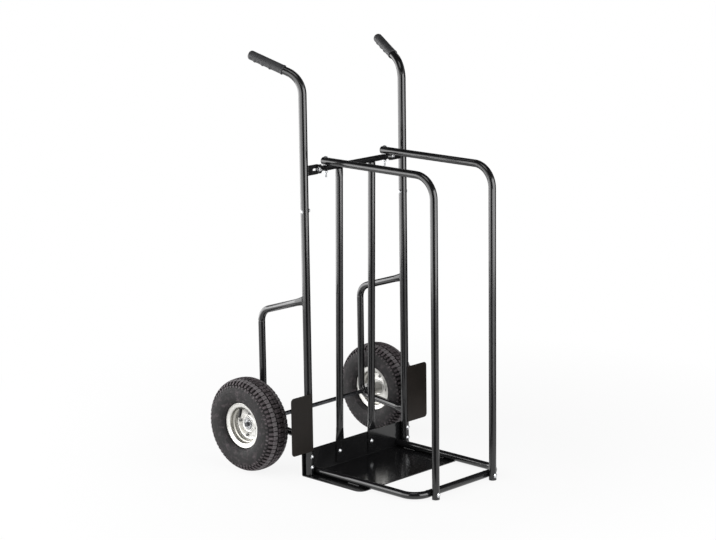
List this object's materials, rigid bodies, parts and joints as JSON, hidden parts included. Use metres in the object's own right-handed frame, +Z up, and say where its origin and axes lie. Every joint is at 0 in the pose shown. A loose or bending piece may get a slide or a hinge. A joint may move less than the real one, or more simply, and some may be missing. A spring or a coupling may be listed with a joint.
{
  "type": "fireside log cart",
  "caption": "Upright two-wheeled steel tube cart for firewood, with a front toe plate, hooped log rack, rear-splayed handles and air-filled wheels.",
  "frame": {"origin": "centre of the overall box on the floor plane", "axes": "+X to the cart's right as seen from behind the handles, -Y to the front where the logs go in, +Z up"},
  "size_m": [0.6, 0.7042, 1.1589],
  "materials": {
    "black_coat": "gloss black powder coat",
    "grip_sleeve": "dull black soft vinyl",
    "black_plastic": "dull black plastic",
    "zinc_plate": "bright zinc plate",
    "axle_steel": "dark blued steel",
    "bearing_steel": "ground steel, slightly dull",
    "hub_plate": "dull zinc plate",
    "rim_plate": "satin silver-grey zinc plate",
    "tyre_rubber": "matte grey-black rubber",
    "tube_rubber": "smooth black rubber"
  },
  "bodies": {
    "frame": {"upright_left": "black_coat", "upright_right": "black_coat", "handle_left": "black_coat", "handle_right": "black_coat", "grip_left": "grip_sleeve", "grip_right": "grip_sleeve", "handle_bolts": "zinc_plate", "handle_nuts": "zinc_plate", "lug_left": "black_coat", "lug_right": "black_coat", "crossbar": "black_coat", "crossbar_bolts": "zinc_plate", "crossbar_washers": "zinc_plate", "crossbar_nuts": "zinc_plate", "back_rail_left": "black_coat", "back_rail_right": "black_coat", "rail_bolts": "zinc_plate", "rail_nuts": "zinc_plate", "hoop_left": "black_coat", "hoop_right": "black_coat", "hoop_bolts": "zinc_plate", "hoop_nuts": "zinc_plate", "hoop_end_plugs": "black_plastic", "foot_left": "black_plastic", "foot_right": "black_plastic", "base_loop": "black_coat", "front_bolts": "zinc_plate", "front_nuts": "zinc_plate", "toe_plate": "black_coat", "toe_bolts": "zinc_plate", "toe_nuts": "zinc_plate", "axle_bracket_left": "black_coat", "axle_bracket_right": "black_coat", "wheel_guard_left": "black_coat", "wheel_guard_right": "black_coat", "axle": "axle_steel", "axle_spacers": "bearing_steel", "axle_washers": "zinc_plate", "cotter_pins": "zinc_plate"},
    "wheel_left": {"tyre_left": "tyre_rubber", "inner_tube_left": "tube_rubber", "rim_outer_left": "rim_plate", "rim_inner_left": "rim_plate", "hub_left": "hub_plate", "bearings_left": "bearing_steel", "rim_bolts_left": "zinc_plate", "rim_nuts_left": "zinc_plate", "valve_cap_left": "tube_rubber"},
    "wheel_right": {"tyre_right": "tyre_rubber", "inner_tube_right": "tube_rubber", "rim_outer_right": "rim_plate", "rim_inner_right": "rim_plate", "hub_right": "hub_plate", "bearings_right": "bearing_steel", "rim_bolts_right": "zinc_plate", "rim_nuts_right": "zinc_plate", "valve_cap_right": "tube_rubber"}
  },
  "joints": [
    {"name": "wheel_left_spin", "type": "hinge", "parent": "frame", "child": "wheel_left", "pos_m": [-0.258, 0.22215, 0.13], "axis": [1, 0, 0], "continuous": true},
    {"name": "wheel_right_spin", "type": "hinge", "parent": "frame", "child": "wheel_right", "pos_m": [0.258, 0.22215, 0.13], "axis": [1, 0, 0], "continuous": true}
  ]
}
